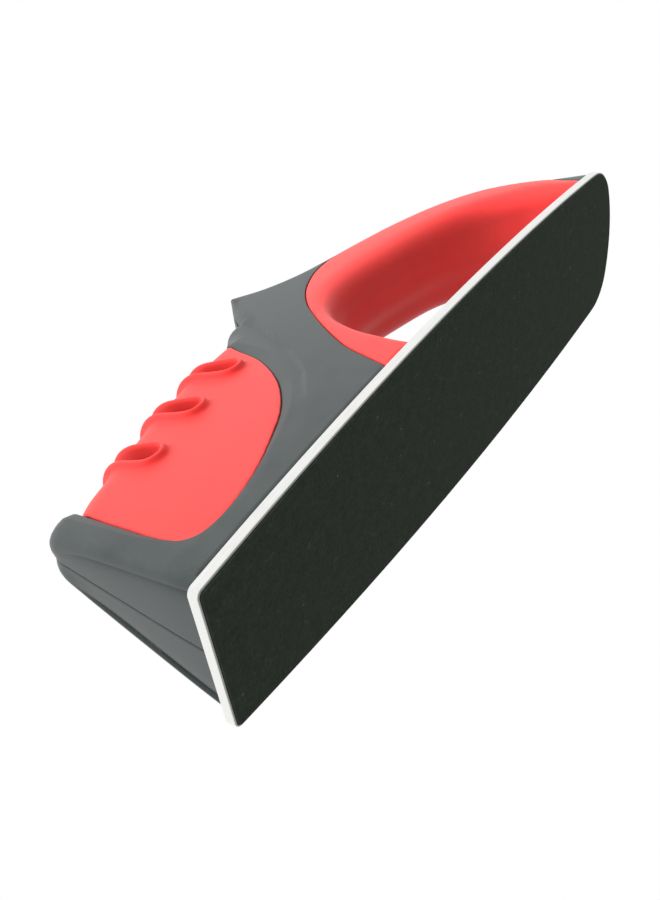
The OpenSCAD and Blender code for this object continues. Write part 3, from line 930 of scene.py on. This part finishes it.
def grey_plastic():
    """Dark moulded plastic with a fine texture."""
    f = Finish("shell_grey")
    broad = f.noise(9)
    fine = f.noise(0.45, roughness=0.65)
    f.colour(f.shades(f.add(broad, fine, 0.5), (0.5, (0.022, 0.029, 0.029)), (1.0, (0.044, 0.053, 0.052))))
    f.roughness(f.spanned(f.add(broad, fine, 0.3), 0.35, 0.46, 0.4, 0.9))
    f.bump(fine, 0.05, 0.8)
    return f.mat


def soft_red():
    """Soft-touch moulding with a slight sheen."""
    f = Finish("soft_red", Sheen_Weight=0.18, Sheen_Roughness=0.4, Sheen_Tint=(1, 0.75, 0.72, 1))
    broad = f.noise(14)
    fine = f.noise(0.25, 2, 0.6)
    f.colour(f.shades(broad, (0.3, (0.82, 0.037, 0.034)), (0.7, (0.88, 0.049, 0.044))))
    f.roughness(f.spanned(f.add(broad, fine, 0.3), 0.5, 0.62, 0.4, 0.9))
    f.bump(fine, 0.012, 0.5)
    return f.mat


def steel():
    """Stainless steel brushed along the length."""
    f = Finish("tray_steel", Metallic=1.0)
    grain = f.noise(0.5, 4, 0.6, f.stretched((0.03, 1, 1)))
    broad = f.noise(12, 2)
    f.colour(f.shades(grain, (0.3, (0.84, 0.84, 0.82)), (0.7, (0.95, 0.95, 0.93))))
    f.roughness(f.spanned(f.add(grain, broad, 0.4), 0.26, 0.42, 0.4, 1.0))
    f.bump(grain, 0.006, 0.4)
    return f.mat


def foam():
    """Dark closed-cell foam with paler flecks."""
    f = Finish("pad_foam")
    cells = f.cells(0.5)
    mottle = f.noise(3, 5, 0.75)
    fleck = f.noise(0.8, 2)
    f.colour(f.shades(f.add(mottle, fleck, 0.5), (0.55, (0.024, 0.036, 0.024)),
                      (0.95, (0.058, 0.078, 0.055)), (1.0, (0.22, 0.26, 0.21))))
    f.roughness(f.spanned(mottle, 0.78, 0.95))
    f.bump(f.add(cells, mottle, 0.8), 0.12, 0.6)
    return f.mat


def dark_nylon():
    """Near-black moulded plastic of the parts inside."""
    f = Finish("carrier_black")
    broad = f.noise(6)
    fine = f.noise(0.4, 2)
    f.colour(f.shades(broad, (0.3, (0.012, 0.014, 0.014)), (0.7, (0.020, 0.023, 0.022))))
    f.roughness(f.spanned(broad, 0.4, 0.55))
    f.bump(fine, 0.02, 0.5)
    return f.mat


def metal(name, dark, light, rough, grain_mm=0.4):
    """Bare metal with a fine grain."""
    f = Finish(name, Metallic=1.0)
    grain = f.noise(grain_mm, roughness=0.6)
    f.colour(f.shades(grain, (0.3, dark), (0.7, light)))
    f.roughness(f.spanned(grain, rough - 0.06, rough + 0.08))
    f.bump(grain, 0.01, 0.4)
    return f.mat


def diamond():
    """Metal coated with grit."""
    f = Finish("diamond_grit", Metallic=0.6)
    grit = f.cells(0.16)
    speck = f.noise(0.3, roughness=0.7)
    f.colour(f.shades(speck, (0.3, (0.16, 0.16, 0.15)), (0.7, (0.42, 0.42, 0.38))))
    f.roughness(f.spanned(speck, 0.45, 0.75))
    f.bump(f.add(grit, speck, 0.5), 0.06, 0.9)
    return f.mat


def fired_ceramic():
    """Off-white ceramic with fine specks."""
    f = Finish("ceramic")
    speck = f.noise(0.5, 4, 0.6)
    f.colour(f.shades(speck, (0.3, (0.78, 0.74, 0.66)), (0.7, (0.86, 0.83, 0.76))))
    f.roughness(f.spanned(speck, 0.5, 0.7))
    f.bump(speck, 0.02, 0.5)
    return f.mat


MATERIALS = {
    "shell_grey": grey_plastic(),
    "soft_red": soft_red(),
    "tray_steel": steel(),
    "pad_foam": foam(),
    "carrier_black": dark_nylon(),
    "carbide": metal("carbide", (0.22, 0.22, 0.24), (0.34, 0.34, 0.36), 0.32, 0.2),
    "clamp_steel": metal("clamp_steel", (0.52, 0.52, 0.54), (0.66, 0.66, 0.68), 0.34),
    "diamond_grit": diamond(),
    "ceramic": fired_ceramic(),
    "hub_steel": metal("hub_steel", (0.56, 0.56, 0.57), (0.7, 0.7, 0.71), 0.28),
}

# ---------------------------------------------------------------- the object
EDGE_R = 0.15                         # rounding of the edges of the parts inside
replaced = set()


def piece(obj, node, slot_name, body="housing"):
    """A new piece that stands for a CAD node."""
    obj.data.materials.append(MATERIALS[slot_name])
    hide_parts(node)
    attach(obj, body)
    replaced.add(node)
    return obj


def finish_node(obj, slot_name):
    """Give a CAD node its material and small rounded edges."""
    if not obj.material_slots:
        obj.data.materials.append(None)
    for slot in obj.material_slots:
        slot.link = "OBJECT"
        slot.material = MATERIALS[slot_name]
    bevel = obj.modifiers.new("edges", "BEVEL")
    bevel.width = EDGE_R * MM
    bevel.segments = 2
    bevel.limit_method = "ANGLE"
    bevel.harden_normals = False


piece(shell("left_shell_skin", -1), "left_shell", "shell_grey")
piece(shell("right_shell_skin", 1), "right_shell", "shell_grey")
piece(saddle(), "slot_cover", "soft_red")
piece(grip(), "handle_grip", "soft_red")
piece(tray(), "base_plate", "tray_steel")
pad_piece = piece(pad(), "base_pad", "pad_foam")

slot_of = {row["node"]: row["material_slot"] for row in frame["record"]["subparts"]}
for node, obj in frame["nodes"].items():
    if node not in replaced:
        finish_node(obj, slot_of[node])

# ---------------------------------------------------------------- stage, light and camera
FLOOR_SIZE = 60                       # metres, so that its edge stays far away
FLOOR_Z = -0.0002                     # metres, just under the pad
KEY_AT = (-0.45, -1.0, 0.95)          # metres
KEY_AIM = (0, 0, 0.03)
CAMERA_AT = Vector((-170.7, -117.8, -87.9)) * MM
CAMERA_AIM = Vector((0.64405, 0.56916, 0.51113))
CAMERA_ROLL = math.radians(-75.1)
LENS = 36.0                           # the same as the sensor's width
scene = bpy.context.scene
scene.view_settings.view_transform = "Standard"


def stage_floor():
    """A pale floor under the object. Seen from below it is clear, so a low camera looks through it."""
    bpy.ops.mesh.primitive_plane_add(size=FLOOR_SIZE, location=(0, 0, FLOOR_Z))
    floor = bpy.context.object
    floor.name = "floor"
    f = Finish("floor_pale", Roughness=0.85)
    f.colour(f.shades(f.noise(400, 2), (0.3, (0.93, 0.93, 0.93)), (0.7, (0.96, 0.96, 0.96))))
    clear = f.nodes.new("ShaderNodeBsdfTransparent")
    underside = f.nodes.new("ShaderNodeNewGeometry").outputs["Backfacing"]
    mix = f.nodes.new("ShaderNodeMixShader")
    f.links.new(underside, mix.inputs[0])
    f.links.new(f.shader.outputs[0], mix.inputs[1])
    f.links.new(clear.outputs[0], mix.inputs[2])
    f.links.new(mix.outputs[0], f.nodes["Material Output"].inputs["Surface"])
    floor.data.materials.append(f.mat)
    floor.visible_diffuse = False
    floor.visible_glossy = False
    floor.visible_shadow = False


def studio_world():
    """Even light from all round: white from the horizon up, and darker towards straight below."""
    sky = bpy.data.worlds.new("studio")
    sky.use_nodes = True
    scene.world = sky
    nodes, links = sky.node_tree.nodes, sky.node_tree.links
    direction = nodes.new("ShaderNodeTexCoord").outputs["Generated"]
    parts = nodes.new("ShaderNodeSeparateXYZ")
    rise = nodes.new("ShaderNodeMapRange")
    rise.inputs["From Min"].default_value = -1
    shades = nodes.new("ShaderNodeValToRGB")
    elements = shades.color_ramp.elements
    elements[0].color = (0.18, 0.19, 0.18, 1)
    elements[1].position = 0.5
    elements[1].color = (1, 1, 1, 1)
    elements.new(0.40).color = (0.42, 0.42, 0.41, 1)
    links.new(direction, parts.inputs[0])
    links.new(parts.outputs["Z"], rise.inputs["Value"])
    links.new(rise.outputs["Result"], shades.inputs["Fac"])
    links.new(shades.outputs["Color"], nodes["Background"].inputs["Color"])


def key_light(size, power):
    """One broad lamp, above the near side and towards the front."""
    data = bpy.data.lights.new("key", "AREA")
    data.shape = "DISK"
    data.size = size
    data.energy = power
    lamp = bpy.data.objects.new("key", data)
    lamp.location = KEY_AT
    lamp.visible_glossy = False
    lamp.rotation_euler = (Vector(KEY_AIM) - Vector(KEY_AT)).to_track_quat("-Z", "Y").to_euler()
    scene.collection.objects.link(lamp)


def main_camera():
    """The camera stands in front, on the near side and below the base, and looks up along the object."""
    data = bpy.data.cameras.new("camera")
    data.lens = LENS
    data.sensor_width = LENS
    data.clip_start = 0.005
    data.clip_end = 20
    camera = bpy.data.objects.new("camera", data)
    camera.matrix_world = (Matrix.Translation(CAMERA_AT)
                           @ CAMERA_AIM.to_track_quat("-Z", "Y").to_matrix().to_4x4()
                           @ Matrix.Rotation(CAMERA_ROLL, 4, "Z"))
    scene.collection.objects.link(camera)
    scene.camera = camera


stage_floor()
studio_world()
key_light(size=1.2, power=29)
main_camera()
